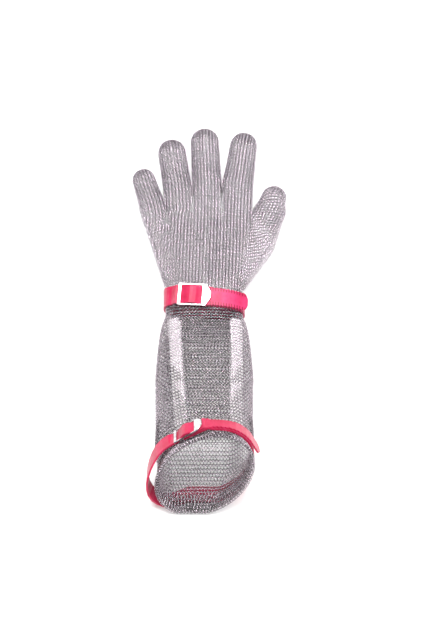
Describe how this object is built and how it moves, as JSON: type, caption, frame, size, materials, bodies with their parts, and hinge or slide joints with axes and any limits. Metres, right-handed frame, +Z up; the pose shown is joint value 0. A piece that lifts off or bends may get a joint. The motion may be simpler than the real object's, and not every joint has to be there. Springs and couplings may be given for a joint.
{
  "type": "chainmail glove",
  "caption": "Long-cuffed ring-mail safety glove lying flat, fingers spread, with plastic wrist and cuff straps, steel slide buckles and flat cuff stays.",
  "frame": {"origin": "point on the glove's flat underside, under the middle of the palm, where it rests", "axes": "+Y along the glove towards the fingertips, +X across towards the thumb, +Z up away from the surface that it lies on"},
  "size_m": [0.1623, 0.4316, 0.0907],
  "materials": {
    "mail_steel": "bright ring mail",
    "strap_plastic": "satin moulded plastic",
    "stay_plastic": "matte",
    "buckle_steel": "polished"
  },
  "bodies": {
    "root": {"mail_palm": "mail_steel", "mail_thumb": "mail_steel", "mail_index_finger": "mail_steel", "mail_middle_finger": "mail_steel", "mail_ring_finger": "mail_steel", "mail_little_finger": "mail_steel", "mail_cuff": "mail_steel", "stay_left": "stay_plastic", "stay_right": "stay_plastic", "wrist_strap": "strap_plastic", "cuff_strap": "strap_plastic", "wrist_buckle": "buckle_steel", "cuff_buckle": "buckle_steel", "wrist_rivet_1": "buckle_steel", "wrist_rivet_2": "buckle_steel", "cuff_rivet_1": "buckle_steel", "cuff_rivet_2": "buckle_steel"}
  },
  "joints": []
}
